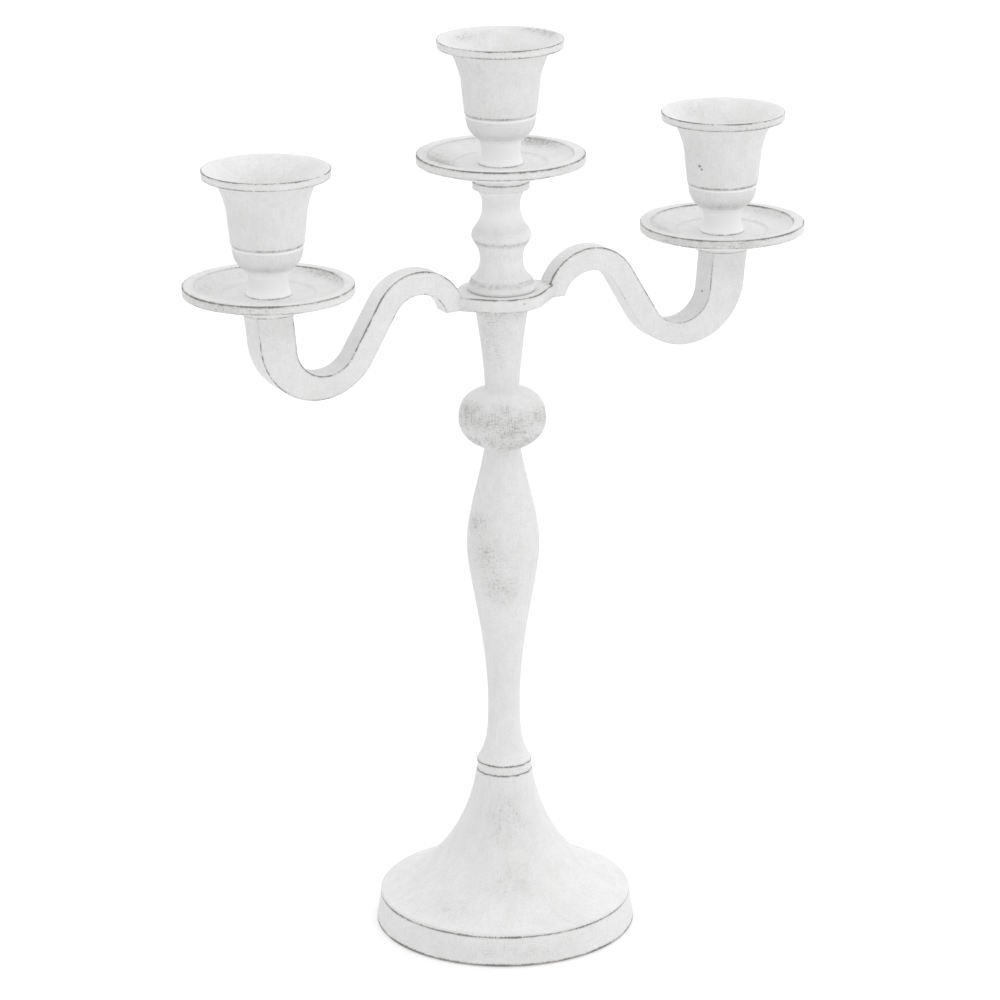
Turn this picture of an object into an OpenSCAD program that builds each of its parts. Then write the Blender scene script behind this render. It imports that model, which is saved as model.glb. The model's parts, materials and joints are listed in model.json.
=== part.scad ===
// Three-light candelabrum. A flared foot and a turned column are held together by one tie rod.
// Two S-shaped arms share a hub under the centre post. Each of the three places is a drip pan
// with a candle cup screwed down on it. +Z is up, the arms lie along X and the origin is on the
// floor, on the column's axis.

/* [Foot] */
// Outside diameter of the foot's lower edge
foot_d = 115; // [108:0.5:124]
// Height of the foot casting
foot_h = 71.1; // [67:0.1:76]
// Height of the nearly upright skirt around the foot
skirt_h = 13; // [11:0.1:15]
// Radius of the foot where it meets the collar
foot_neck_r = 12.3; // [12:0.1:13.5]
// Thickness of the felt under the foot
felt_t = 1.2; // [1.1:0.1:2]

/* [Column] */
// Height of the collar
collar_h = 4.5; // [3:0.5:6]
// Radius of the collar
collar_r = 12.1; // [11.5:0.1:13]
// Height of the lower stem
lower_stem_h = 144.8; // [130:0.1:160]
// Radius of the lower stem's thin neck
stem_neck_r = 7.04; // [6.8:0.02:8]
// Radius of the lower stem's belly
stem_belly_r = 15.9; // [14:0.1:18]
// Height of the ball
ball_h = 26.1; // [25:0.1:30]
// Radius of the ball
ball_r = 19; // [17:0.1:21]
// Height of the upper stem
upper_stem_h = 38.2; // [34:0.1:44]
// Height of the centre post
post_h = 47.7; // [46:0.1:52]

/* [Arms] */
// Distance from the column's axis to each outer cup's axis
arm_reach = 109.6; // [106:0.1:116]
// Radius of the hub's round part
hub_r = 18.6; // [17.5:0.1:20]
// Thickness of the hub
hub_t = 5.9; // [5:0.1:7]
// Depth of the bar, front to back, where it leaves the hub
bar_depth_hub = 8.4; // [7:0.1:10]
// Depth of the bar, front to back, at the upright under the pan
bar_depth_tip = 13.5; // [11:0.1:15]
// Height of the bar's crest above the hub's top
crest_rise = 14; // [13:0.1:15]
// Height of the upright's top above the hub's top
tip_rise = 4.6; // [4:0.1:6]

/* [Drip pans] */
// Outside radius of a pan
pan_r = 36.1; // [34:0.1:38]
// Height of a pan from its boss to its rim
pan_h = 12; // [11:0.1:13]
// Height of the band around the rim
pan_band = 3.75; // [3:0.05:4.5]
// Depth of the pan's floor below its rim
pan_floor = 4.4; // [3.6:0.1:5]

/* [Candle cups] */
// Outside radius of the rim
cup_r = 27.1; // [26:0.1:28]
// Height of a cup
cup_h = 53.7; // [52:0.1:56]
// Diameter of the socket that takes a household candle
socket_d = 23; // [22:0.1:24]
// Length of the straight wall of the socket
socket_len = 18; // [15:0.5:19]

/* [Fasteners] */
// Diameter of the tie rod through the column
rod_d = 6; // [5:0.5:6]
// Diameter of the studs that hold the cups
stud_d = 5; // [4:0.5:5]
// Radial clearance of the hub on the rod and of the cups on their studs
running_gap = 0.05; // [0.03:0.01:0.08]

/* [Hidden] */
$fn = 96;

paint = "ivory";
steel = "silver";
felt = "dimgray";

// Points on each curved stretch of a turned outline, and on each arc of the arms.
curve_steps = 14;
arc_steps = 20;

// Stack of the column, from the floor up.
felt_recess = 0.8;
foot_z = felt_t - felt_recess;
collar_z = foot_z + foot_h;
lower_stem_z = collar_z + collar_h;
ball_z = lower_stem_z + lower_stem_h;
upper_stem_z = ball_z + ball_h;
hub_z = upper_stem_z + upper_stem_h;
hub_top_z = hub_z + hub_t;
post_top_z = hub_top_z + post_h;
tip_z = hub_top_z + tip_rise;

// Radii where the column's pieces meet.
foot_r = foot_d / 2;
skirt_top_r = foot_r - 2;
foot_wall = 7;
foot_lip = 1.2;
stem_foot_r = collar_r + 0.1;
belly_z = 100.5;
stem_neck_z = 26;
stem_top_r = 7.85;
upper_stem_base_r = 7.5;
upper_stem_top_r = 11.9;

// Holes and fasteners.
rod_r = rod_d / 2;
rod_hole_r = rod_r + 0.3;
rod_tail = 11;
rod_thread_len = 14;
nut_seat = 51.6;
nut_seat_r = 11;
nut_h = 5;
nut_across_flats = 10;
washer_t = 1.6;
washer_r = 9;
stud_r = stud_d / 2;
stud_hole_r = stud_r + running_gap;
pan_hole_r = stud_r + 0.25;
stud_thread_len = 12;
seat_washer_t = 1.2;
seat_washer_r = 4.6;
hole_bottom_gap = 1.2;

// Arms: two circles at the valley and two at the crest, joined by straight flanks.
flank = 31;
valley_outer_r = 28.5;
valley_inner_r = 14.1;
valley_outer = [arm_reach - 21, hub_top_z - 6.8];
valley_inner = [arm_reach - 23.6, hub_top_z - 11];
crest_outer_x = 41.9;
crest_inner_x = 41.5;
crest_inner_rise = 3.8;
upright_inside = 8;
upright_outside = 8.9;
arm_root_x = 23;

// Cups and pans, in their own frames: a pan's and a cup's z = 0 is at its rim.
cup_foot_z = -cup_h;
cup_foot_r = 9.7;
cup_on_pan = pan_h - pan_floor;
socket_r = socket_d / 2;
socket_top = -18;
boss_r = 12.3;

// Points of a cubic Bezier curve from a to d, pulled towards b and c.
function bezier(a, b, c, d) = [
    for (i = [0:curve_steps])
        let (t = i / curve_steps, s = 1 - t)
        s * s * s * a + 3 * s * s * t * b + 3 * s * t * t * c + t * t * t * d
];

// Points of an arc about centre, from angle a1 to angle a2.
function arc(centre, r, a1, a2) = [
    for (i = [0:arc_steps])
        let (a = a1 + (a2 - a1) * i / arc_steps)
        centre + r * [cos(a), sin(a)]
];

// Radius of the crest circle whose top is at [x, top] and which shares a flank with a valley circle.
function crest_r(x, top, valley, r) =
    let (across = valley[0] - r * cos(flank) - x)
    let (rise = top - valley[1] + r * sin(flank))
    (across * cos(flank) - rise * sin(flank)) / (1 - sin(flank));

// Turns a closed outline of [radius, height] points about Z.
module turned(outline) {
    rotate_extrude() polygon(outline);
}

// Removes a round hole from z1 to z2 on the axis.
module bored(r, z1, z2) {
    difference() {
        children();
        translate([0, 0, z1]) cylinder(r = r, h = z2 - z1);
    }
}

module at_left() {
    translate([-arm_reach, 0, tip_z]) children();
}

module at_centre() {
    translate([0, 0, post_top_z]) children();
}

module at_right() {
    translate([arm_reach, 0, tip_z]) children();
}

// Felt ring glued into the rebate under the foot's edge.
module felt_ring() {
    color(felt) turned([
        [foot_r - foot_wall + 0.1, 0],
        [foot_r - foot_lip - 0.1, 0],
        [foot_r - foot_lip - 0.1, felt_t],
        [foot_r - foot_wall + 0.1, felt_t]
    ]);
}

// Hollow cast foot: a flare with a round shoulder over an upright skirt, a seat inside for the
// tie rod's nut and a rebate under its edge for the felt.
module foot() {
    flare_foot = [skirt_top_r - 1.5, skirt_h + 1.9];
    flare = bezier(
        [foot_neck_r, foot_h],
        [foot_neck_r * 1.244, foot_h * 0.707],
        [foot_r * 0.47, foot_h * 0.345],
        flare_foot
    );
    shoulder = bezier(
        flare_foot,
        flare_foot + [1.3, -0.2],
        [skirt_top_r + 0.25, skirt_h + 1.1],
        [skirt_top_r, skirt_h]
    );
    hollow = bezier(
        [foot_r - foot_wall, skirt_h - 5],
        [foot_r * 0.4, foot_h * 0.347],
        [nut_seat_r, foot_h * 0.614],
        [nut_seat_r, nut_seat]
    );
    color(paint) translate([0, 0, foot_z]) turned(concat(
        [[rod_hole_r, foot_h]],
        flare,
        shoulder,
        [[foot_r, 0], [foot_r - foot_lip, 0], [foot_r - foot_lip, felt_recess]],
        [[foot_r - foot_wall, felt_recess]],
        hollow,
        [[rod_hole_r, nut_seat]]
    ));
}

// Ring between the foot and the stem.
module collar() {
    color(paint) translate([0, 0, collar_z]) turned([
        [rod_hole_r, 0],
        [collar_r, 0],
        [collar_r, collar_h],
        [rod_hole_r, collar_h]
    ]);
}

// Long baluster with a thin neck and a belly.
module lower_stem() {
    neck = bezier([stem_foot_r, 0], [7.7, 6.4], [stem_neck_r, 14.2], [stem_neck_r, stem_neck_z]);
    swell = bezier(
        [stem_neck_r, stem_neck_z],
        [stem_neck_r, 58.2],
        [stem_belly_r, 85.3],
        [stem_belly_r, belly_z]
    );
    shoulder = bezier(
        [stem_belly_r, belly_z],
        [stem_belly_r, 114.6],
        [10.4, lower_stem_h - 16.4],
        [stem_top_r, lower_stem_h]
    );
    color(paint) translate([0, 0, lower_stem_z]) turned(concat(
        [[rod_hole_r, 0]],
        neck,
        swell,
        shoulder,
        [[rod_hole_r, lower_stem_h]]
    ));
}

// Flattened ball, fuller above its widest height than below, cut off flat where the stems meet it.
module ball_knop() {
    widest_z = ball_h * 0.468;
    half_low = ball_h * 0.517;
    half_high = ball_h * 0.552;
    side = [
        for (i = [0:2 * curve_steps])
            let (z = ball_h * i / (2 * curve_steps), low = z < widest_z)
            let (u = abs(z - widest_z) / (low ? half_low : half_high), power = low ? 2 : 2.6)
            [ball_r * pow(1 - pow(u, power), 1 / power), z]
    ];
    color(paint) translate([0, 0, ball_z]) turned(concat(
        [[rod_hole_r, 0]],
        side,
        [[rod_hole_r, ball_h]]
    ));
}

// Short stem that widens up to the hub.
module upper_stem() {
    side = bezier(
        [upper_stem_base_r, 0],
        [upper_stem_base_r, 10.2],
        [upper_stem_top_r - 0.5, upper_stem_h - 1.8],
        [upper_stem_top_r, upper_stem_h]
    );
    color(paint) translate([0, 0, upper_stem_z]) turned(concat(
        [[rod_hole_r, 0]],
        side,
        [[rod_hole_r, upper_stem_h]]
    ));
}

// Front outline of one arm's bar, from the hub out to the upright's top.
function bar_outline() =
    let (top = hub_top_z + crest_rise, under = hub_top_z + crest_inner_rise)
    let (outer_r = crest_r(crest_outer_x, top, valley_inner, valley_inner_r))
    let (inner_r = crest_r(crest_inner_x, under, valley_outer, valley_outer_r))
    let (outer = [crest_outer_x, top - outer_r], inner = [crest_inner_x, under - inner_r])
    concat(
        [[hub_r / 2, hub_z]],
        arc(inner, inner_r, 180 - asin((hub_z - inner[1]) / inner_r), flank),
        arc(valley_outer, valley_outer_r, 180 + flank, 360),
        [[arm_reach + upright_outside, tip_z], [arm_reach - upright_inside, tip_z]],
        arc(valley_inner, valley_inner_r, 360, 180 + flank),
        arc(outer, outer_r, flank, 180 - asin((hub_top_z - outer[1]) / outer_r)),
        [[hub_r / 2, hub_top_z]]
    );

// One arm's bar. Seen from above it widens evenly from its root at the hub.
module arm_bar() {
    end_x = arm_reach + 12;
    widening = (bar_depth_tip - bar_depth_hub) / (arm_reach - arm_root_x);
    root_y = bar_depth_hub / 2;
    end_y = root_y + widening * (end_x - arm_root_x) / 2;
    intersection() {
        rotate([90, 0, 0]) translate([0, 0, -bar_depth_tip])
            linear_extrude(2 * bar_depth_tip) polygon(bar_outline());
        translate([0, 0, hub_top_z - 60]) linear_extrude(120) polygon([
            [0, -root_y], [arm_root_x, -root_y], [end_x, -end_y],
            [end_x, end_y], [arm_root_x, root_y], [0, root_y]
        ]);
    }
}

// The hub: a disc with straight sides that run out to the roots of both arms.
module hub() {
    half = bar_depth_hub / 2;
    turn = atan(half / arm_root_x) + acos(hub_r / norm([arm_root_x, half]));
    x = (hub_r - 0.05) * cos(turn);
    y = (hub_r - 0.05) * sin(turn);
    translate([0, 0, hub_z]) {
        cylinder(r = hub_r, h = hub_t);
        linear_extrude(hub_t) polygon([
            [arm_root_x, half], [x, y], [-x, y], [-arm_root_x, half],
            [-arm_root_x, -half], [-x, -y], [x, -y], [arm_root_x, -half]
        ]);
    }
}

// Hub and both arms in one casting, drilled for the tie rod and tapped for the cup studs.
module arm_casting() {
    color(paint) difference() {
        union() {
            hub();
            arm_bar();
            mirror([1, 0, 0]) arm_bar();
        }
        translate([0, 0, hub_z - 1]) cylinder(r = rod_r + running_gap, h = hub_t + 2);
        for (side = [-1, 1])
            translate([side * arm_reach, 0, tip_z - stud_thread_len - hole_bottom_gap])
                cylinder(r = stud_hole_r, h = stud_thread_len + hole_bottom_gap + 1);
    }
}

// Small baluster that carries the centre pan and is screwed on the tie rod's top.
module centre_post() {
    bead_z = 24;
    waist_z = 14;
    neck_z = 38;
    disc_z = post_h - 3.2;
    bead_r = 12.9;
    waist_r = 9.3;
    neck_r = 8.2;
    band_z = 5.2;
    band = [[14.2, 0], [14.9, 1], [13.2, band_z]];
    cove = bezier([13.2, band_z], [10.3, 7.8], [waist_r, 9.8], [waist_r, waist_z]);
    rise = bezier([waist_r, waist_z], [waist_r, 19.8], [bead_r, 21.5], [bead_r, bead_z]);
    fall = bezier([bead_r, bead_z], [bead_r, 28.3], [neck_r, 28.3], [neck_r, neck_z]);
    top = bezier([neck_r, neck_z], [neck_r, 39.9], [9.2, disc_z - 1], [11.4, disc_z]);
    color(paint) translate([0, 0, hub_top_z])
        bored(stud_hole_r, post_h - stud_thread_len - hole_bottom_gap, post_h + 1)
        bored(rod_r + running_gap, -1, rod_thread_len + hole_bottom_gap)
        turned(concat(
            [[0, 0]],
            band,
            cove,
            rise,
            fall,
            top,
            [[boss_r, disc_z], [boss_r, post_h], [0, post_h]]
        ));
}

// Threaded rod that clamps the column between its nut and the centre post.
module tie_rod() {
    bottom = foot_z + nut_seat - rod_tail;
    color(steel) translate([0, 0, bottom])
        cylinder(r = rod_r, h = hub_top_z + rod_thread_len - bottom);
}

// Washer between the foot's seat and the nut.
module base_washer() {
    color(steel) translate([0, 0, foot_z + nut_seat - washer_t])
        bored(rod_r + 0.2, -1, washer_t + 1)
        cylinder(r = washer_r, h = washer_t);
}

// Hexagon nut inside the foot.
module base_nut() {
    color(steel) translate([0, 0, foot_z + nut_seat - washer_t - nut_h])
        bored(rod_r + running_gap, -1, nut_h + 1)
        cylinder(d = nut_across_flats / cos(30), h = nut_h, $fn = 6);
}

// Drip pan: a banded rim, a groove, a shallow dish and a boss underneath. z = 0 is the boss's foot.
module drip_pan() {
    groove_r = pan_r - 4.9;
    dish_r = 20.2;
    floor_z = pan_h - pan_floor;
    dish = bezier(
        [groove_r - 0.5, pan_h - 0.6],
        [groove_r - 3, pan_h - 2.2],
        [dish_r + 4, pan_h - 3.1],
        [dish_r, pan_h - 3.5]
    );
    underside = bezier(
        [pan_r - 1.6, pan_h - pan_band],
        [pan_r - 6, pan_h - pan_band - 2],
        [boss_r + 10, 3.4],
        [boss_r, 2.4]
    );
    color(paint) turned(concat(
        [[pan_hole_r, 0], [pan_hole_r, floor_z], [dish_r - 0.6, floor_z], [dish_r, pan_h - 4]],
        [for (i = [curve_steps:-1:0]) dish[i]],
        [[groove_r - 0.3, pan_h - 0.6], [groove_r, pan_h], [pan_r, pan_h]],
        [[pan_r, pan_h - pan_band]],
        underside,
        [[boss_r, 0]]
    ));
}

module drip_pan_left() {
    at_left() drip_pan();
}

module drip_pan_centre() {
    at_centre() drip_pan();
}

module drip_pan_right() {
    at_right() drip_pan();
}

// Stud fixed in the arm or the post, up through the pan and into the cup.
module cup_stud() {
    color(steel) translate([0, 0, -stud_thread_len])
        cylinder(r = stud_r, h = stud_thread_len + cup_on_pan + stud_thread_len);
}

module cup_stud_left() {
    at_left() cup_stud();
}

module cup_stud_centre() {
    at_centre() cup_stud();
}

module cup_stud_right() {
    at_right() cup_stud();
}

// Washer held in the recess under the cup's foot.
module cup_washer() {
    color(steel) translate([0, 0, cup_on_pan])
        bored(stud_r + 0.15, -1, seat_washer_t + 1)
        cylinder(r = seat_washer_r, h = seat_washer_t);
}

module cup_washer_left() {
    at_left() cup_washer();
}

module cup_washer_centre() {
    at_centre() cup_washer();
}

module cup_washer_right() {
    at_right() cup_washer();
}

// Candle cup: a bell over a rounded bowl on a waisted foot, with a funnel and a socket inside.
module candle_cup() {
    rim_band = 3.6;
    bell_foot_z = -31.6;
    bowl_top_z = -32.6;
    bowl_foot_z = -42.2;
    ring_z = -43.2;
    ring_r = 9.9;
    thread_top = cup_foot_z + stud_thread_len + hole_bottom_gap;
    bell = bezier([21.8, -rim_band], [19.2, -9], [16.9, -15], [16.7, -20]);
    bowl = bezier([15.1, bowl_top_z], [15.1, -38], [12.6, -40.7], [10.6, bowl_foot_z]);
    waist = bezier([9.3, ring_z], [8, -46], [8, -50], [cup_foot_r, cup_foot_z + 0.6]);
    funnel = bezier([socket_r, socket_top], [14, -9], [20, -3], [cup_r - 0.7, 0]);
    color(paint) translate([0, 0, cup_on_pan + cup_h])
        bored(stud_hole_r, cup_foot_z - 1, thread_top)
        bored(seat_washer_r + 0.15, cup_foot_z - 1, cup_foot_z + seat_washer_t)
        turned(concat(
            [[0, socket_top - socket_len], [socket_r, socket_top - socket_len]],
            funnel,
            [[cup_r, -0.3], [cup_r - 0.3, -rim_band]],
            bell,
            [[15.5, bell_foot_z], [14.6, bell_foot_z - 0.3]],
            bowl,
            [[ring_r, bowl_foot_z - 0.4], [ring_r, ring_z]],
            waist,
            [[cup_foot_r, cup_foot_z], [0, cup_foot_z]]
        ));
}

module candle_cup_left() {
    at_left() candle_cup();
}

module candle_cup_centre() {
    at_centre() candle_cup();
}

module candle_cup_right() {
    at_right() candle_cup();
}

felt_ring();
foot();
collar();
lower_stem();
ball_knop();
upper_stem();
arm_casting();
centre_post();
tie_rod();
base_washer();
base_nut();
drip_pan_left();
drip_pan_centre();
drip_pan_right();
cup_stud_left();
cup_stud_centre();
cup_stud_right();
cup_washer_left();
cup_washer_centre();
cup_washer_right();
candle_cup_left();
candle_cup_centre();
candle_cup_right();
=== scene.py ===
"""Three-light candelabrum: turned castings in worn, brushed white paint, on a pale studio floor.

Outlines are [radius, height] points in millimetres, turned about a vertical axis. Every painted
mesh carries three attributes that its paint reads: "edge", how far in millimetres a point is
from the nearest worn edge; "grain", a place measured across and along the brush strokes; and a
third, how far the paint is rubbed thin and painted darker as shade, which below zero marks a
painted highlight lifted towards white as if lit.
"""

import json
import math

import bmesh
import bpy
import numpy as np
from mathutils import Matrix, Vector, kdtree, noise


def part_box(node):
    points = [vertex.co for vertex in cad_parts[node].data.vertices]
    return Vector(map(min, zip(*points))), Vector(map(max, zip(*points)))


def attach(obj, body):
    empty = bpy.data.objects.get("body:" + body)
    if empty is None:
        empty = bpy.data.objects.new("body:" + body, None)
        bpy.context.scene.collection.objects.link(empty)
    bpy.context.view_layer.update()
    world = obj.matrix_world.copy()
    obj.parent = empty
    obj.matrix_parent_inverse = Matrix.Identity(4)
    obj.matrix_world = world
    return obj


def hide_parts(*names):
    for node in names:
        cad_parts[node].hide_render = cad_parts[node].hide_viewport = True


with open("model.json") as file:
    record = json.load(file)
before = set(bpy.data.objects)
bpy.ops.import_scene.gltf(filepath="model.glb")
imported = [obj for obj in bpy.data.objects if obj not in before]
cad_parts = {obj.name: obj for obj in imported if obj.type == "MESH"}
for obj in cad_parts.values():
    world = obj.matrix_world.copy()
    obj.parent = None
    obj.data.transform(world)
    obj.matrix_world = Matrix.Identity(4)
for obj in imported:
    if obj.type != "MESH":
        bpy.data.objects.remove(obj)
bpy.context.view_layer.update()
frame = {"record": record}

MM = 0.001
SIDES = ("left", "centre", "right")

# The camera stands left of the front, so the left arm comes towards it. Metres, degrees and, for
# the lens, millimetres.
VIEW_AZIMUTH = 27.94
CAMERA_YAW = -0.04
CAMERA_DISTANCE = 1.745
CAMERA_HEIGHT = 0.762
CAMERA_PITCH = 17.97
CAMERA_ROLL = 0.34
CAMERA_LENS = 151.8

# The studio: a glowing white floor in a white tent, whose light is TENT_BASE at the horizon, more
# by TENT_TOP overhead, and more or less by TENT_SIDE towards +X or -X.
FLOOR_WHITE = 0.55
FLOOR_GLOW = 0.46
FLOOR_REACH = 12000
TENT_BASE = 0.6
TENT_TOP = 0.8
TENT_SIDE = 0.24
TENT_SEEN = 1.0

# The direction from the column towards the camera, in degrees from +X.
FRONT = -118

# The side on which an edge is most worn, and how much less it is worn opposite, in millimetres.
FRONT_LEAN = (FRONT, 0.35)
BACK_LEAN = (FRONT + 160, 0.9)

# Worn edges: how far a fully kept edge stands off from a fully worn one, in millimetres.
EDGE_FADE = 0.9
EDGE_REACH = 6.0
# Distances from an edge at which a mesh has a ring of points, in millimetres.
SUPPORTS = (0.12, 0.35, 0.7, 1.2, 2.0, 3.2)
CORNER_STEPS = 4
LONGEST_STEP = 2.5
# Depth of the unevenness of a hand-finished casting, in millimetres.
UNEVEN = 0.12
# Shades of the paint: its thin grey wash, and the near white of its painted highlights.
WASH_LIGHT = 0.84
WASH_DARK = 0.80
HIGHLIGHT_WHITE = 0.97


# ---------------------------------------------------------------- outlines

def bezier(a, b, c, d, steps=22):
    """Points of a cubic curve from a to d, pulled towards b and c."""
    a, b, c, d = (np.array(p, float) for p in (a, b, c, d))
    t = np.linspace(0, 1, steps + 1)[:, None]
    points = (1 - t) ** 3 * a + 3 * (1 - t) ** 2 * t * b + 3 * (1 - t) * t * t * c + t ** 3 * d
    return [tuple(p) for p in points]


def arc(centre, radius, start, end, steps):
    """Points of an arc about centre, with its angles in degrees."""
    angles = np.radians(np.linspace(start, end, steps + 1))
    return [(centre[0] + radius * math.cos(a), centre[1] + radius * math.sin(a)) for a in angles]


def corner(r, z, wear=0.0, radius=0.35, lean=None):
    """A sharp corner of an outline, slightly rounded, with its wear from 0 to 1.

    lean is (direction, amount): the side where the edge is most worn, and how much less it is
    worn on the other side, in millimetres.
    """
    return (r, z, radius, (wear, lean))


def soften(outline, closed):
    """Rounds the corners. Returns the points and, for each, its wear (None where none is worn)."""
    points, wears = [], []
    last = len(outline) - 1
    for i, item in enumerate(outline):
        here = Vector(item[:2])
        if len(item) == 2 or (not closed and i in (0, last)):
            points.append(here)
            wears.append(None)
            continue
        radius, wear = item[2:]
        before = Vector(outline[i - 1][:2]) - here
        after = Vector(outline[(i + 1) % (last + 1)][:2]) - here
        start = here + before.normalized() * min(radius, before.length * 0.45)
        end = here + after.normalized() * min(radius, after.length * 0.45)
        for k in range(CORNER_STEPS + 1):
            t = k / CORNER_STEPS
            points.append(start.lerp(here, t).lerp(here.lerp(end, t), t))
            wears.append(wear if k == CORNER_STEPS // 2 and wear[0] > 0 else None)
    return points, wears


def support(points, wears, closed):
    """Adds points next to the edges and along long stretches.

    Returns points, their distance along the outline, and their distance from each edge's bare
    line, followed by the edges' leans.
    """
    ends = points[1:] + (points[:1] if closed else [])
    lengths = [(b - a).length for a, b in zip(points, ends)]
    marks = np.concatenate([[0], np.cumsum(lengths)])
    total = marks[-1]
    edges = [(marks[i], *w) for i, w in enumerate(wears) if w is not None]
    wraps = (-total, 0, total) if closed else (0,)
    near = sorted(
        e[0] + wrap + side * d
        for e in edges for wrap in wraps for side in (-1, 1) for d in SUPPORTS
    )
    out, along = [], []
    for i, length in enumerate(lengths):
        out.append(points[i])
        along.append(marks[i])
        parts = max(1, math.ceil(length / LONGEST_STEP))
        inner = [marks[i] + length * k / parts for k in range(1, parts)] + near
        latest = marks[i]
        for s in sorted(inner):
            if s - latest > 0.08 and marks[i + 1] - s > 0.08:
                out.append(points[i].lerp(ends[i], (s - marks[i]) / length))
                along.append(s)
                latest = s
    if not closed:
        out.append(points[-1])
        along.append(total)
    along = np.array(along)
    away = []
    for mark, wear, _ in edges:
        apart = np.min([abs(along - mark - wrap) for wrap in wraps], axis=0)
        away.append(apart + (1 - wear) * EDGE_FADE)
    return out, along, away, [lean for _, _, lean in edges]


# ---------------------------------------------------------------- meshes

def add_object(name, verts, faces, attributes=None):
    """A smooth-shaded mesh object from points in millimetres."""
    mesh = bpy.data.meshes.new(name)
    mesh.from_pydata([(x * MM, y * MM, z * MM) for x, y, z in verts], [], faces)
    mesh.update()
    for key, values in (attributes or {}).items():
        values = np.asarray(values, np.float32)
        kind = "FLOAT_VECTOR" if values.ndim == 2 else "FLOAT"
        attribute = mesh.attributes.new(key, kind, "POINT")
        attribute.data.foreach_set("vector" if values.ndim == 2 else "value", values.ravel())
    mesh.polygons.foreach_set("use_smooth", [True] * len(mesh.polygons))
    piece = bpy.data.objects.new(name, mesh)
    bpy.context.scene.collection.objects.link(piece)
    return piece


def face_outwards(piece):
    """Turns every face outwards."""
    bm = bmesh.new()
    bm.from_mesh(piece.data)
    bmesh.ops.recalc_face_normals(bm, faces=bm.faces)
    bm.to_mesh(piece.data)
    bm.free()
    return piece


def rub_and_shading_at(spots, r, z, angle):
    """How far the paint is rubbed, and painted darker as shade, at a point: the strongest of soft
    spots on the outline.

    A spot is (radius, height, size, direction, spread, amount); direction None goes all round. A
    positive amount is rubbed wear in some spots and painted shade in others, and a negative amount
    is a painted highlight, where the colour is lifted towards white as if lit.
    """
    worn, painted_highlight = 0.0, 0.0
    for spot_r, spot_z, size, direction, spread, strength in spots:
        fall = math.exp(-((r - spot_r) ** 2 + (z - spot_z) ** 2) / (size * size))
        if direction is not None:
            turn = (angle - direction + 180) % 360 - 180
            fall *= math.exp(-(turn / spread) ** 2)
        worn = max(worn, strength * fall)
        painted_highlight = min(painted_highlight, strength * fall)
    return worn + painted_highlight


def lathe(name, outline, at=(0, 0, 0), grain_r=14, turns=128, spots=(), seed=0.0, uneven=UNEVEN):
    """Turns an outline about the vertical axis through at.

    An outline that starts and ends on the axis is closed by poles, any other by its own loop.
    """
    closed = outline[0][0] > 1e-6
    points, along, away, leans = support(*soften(outline, closed), closed)
    around = 2 * math.pi * np.arange(turns) / turns
    nearest = np.full((len(points), turns), EDGE_REACH)
    for distance, lean in zip(away, leans):
        fade = np.zeros(turns)
        if lean:
            fade = lean[1] * 0.5 * (1 - np.cos(around - math.radians(lean[0])))
        nearest = np.minimum(nearest, distance[:, None] + fade[None, :])
    verts, faces, edge, grain, rub_and_shading = [], [], [], [], []
    rows = []
    for p, s, near in zip(points, along, nearest):
        count = 1 if p[0] < 1e-6 else turns
        rows.append(range(len(verts), len(verts) + count))
        for k in range(count):
            angle = 2 * math.pi * k / turns
            c, sn = math.cos(angle), math.sin(angle)
            place = Vector((c * 1.3 + seed, sn * 1.3, p[1] / 16))
            low = 0.5 + 0.5 * noise.noise(place)
            r = p[0] - uneven * low if p[0] > 1e-6 else 0
            verts.append((at[0] + r * c, at[1] + r * sn, at[2] + p[1]))
            edge.append(near[k])
            grain.append((c * grain_r + seed * 37, sn * grain_r - seed * 19, s))
            rub_and_shading.append(rub_and_shading_at(spots, p[0], p[1], math.degrees(angle)))
    pairs = list(zip(rows, rows[1:] + (rows[:1] if closed else [])))
    if not closed:
        pairs = pairs[:len(rows) - 1]
    for low_row, high_row in pairs:
        for k in range(turns):
            j = (k + 1) % turns
            if len(low_row) == 1:
                faces.append((low_row[0], high_row[k], high_row[j]))
            elif len(high_row) == 1:
                faces.append((low_row[j], low_row[k], high_row[0]))
            else:
                faces.append((low_row[j], low_row[k], high_row[k], high_row[j]))
    piece = add_object(name, verts, faces, {"edge": edge, "grain": grain, "rub_and_shading": rub_and_shading})
    return face_outwards(piece)


def boolean(piece, other, operation):
    """Joins other to piece, or cuts it away, and removes other."""
    modifier = piece.modifiers.new("cut", "BOOLEAN")
    modifier.object = other
    modifier.operation = operation
    modifier.solver = "EXACT"
    bpy.context.view_layer.update()
    result = piece.evaluated_get(bpy.context.evaluated_depsgraph_get())
    mesh = bpy.data.meshes.new_from_object(result)
    piece.modifiers.clear()
    piece.data = mesh
    bpy.data.objects.remove(other)
    return piece


def threaded_rod(name, at, length, major_r, pitch, threads, chamfer=0.6, turns=28):
    """A rod with a real helical thread over the given stretches of its length."""
    depth = 0.6 * pitch
    step = pitch / 8
    count = math.ceil(length / step)
    verts, faces = [], []
    for i in range(count + 1):
        z = length * i / count
        cut = max(0, chamfer - min(z, length - z))
        for k in range(turns):
            angle = 2 * math.pi * k / turns
            turn = (z / pitch - k / turns) % 1
            wave = min(1, max(0, 1.6 * abs(2 * turn - 1) - 0.3))
            in_thread = any(a <= z <= b for a, b in threads)
            r = min(major_r - (depth * wave if in_thread else 0), major_r - cut)
            verts.append((at[0] + r * math.cos(angle), at[1] + r * math.sin(angle), at[2] + z))
    for i in range(count):
        for k in range(turns):
            j = (k + 1) % turns
            a, b = i * turns, (i + 1) * turns
            faces.append((a + k, a + j, b + j, b + k))
    faces.append(tuple(range(turns))[::-1])
    faces.append(tuple(range(count * turns, (count + 1) * turns)))
    piece = add_object(name, verts, faces)
    piece.data.set_sharp_from_angle(angle=math.radians(50))
    return piece


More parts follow.
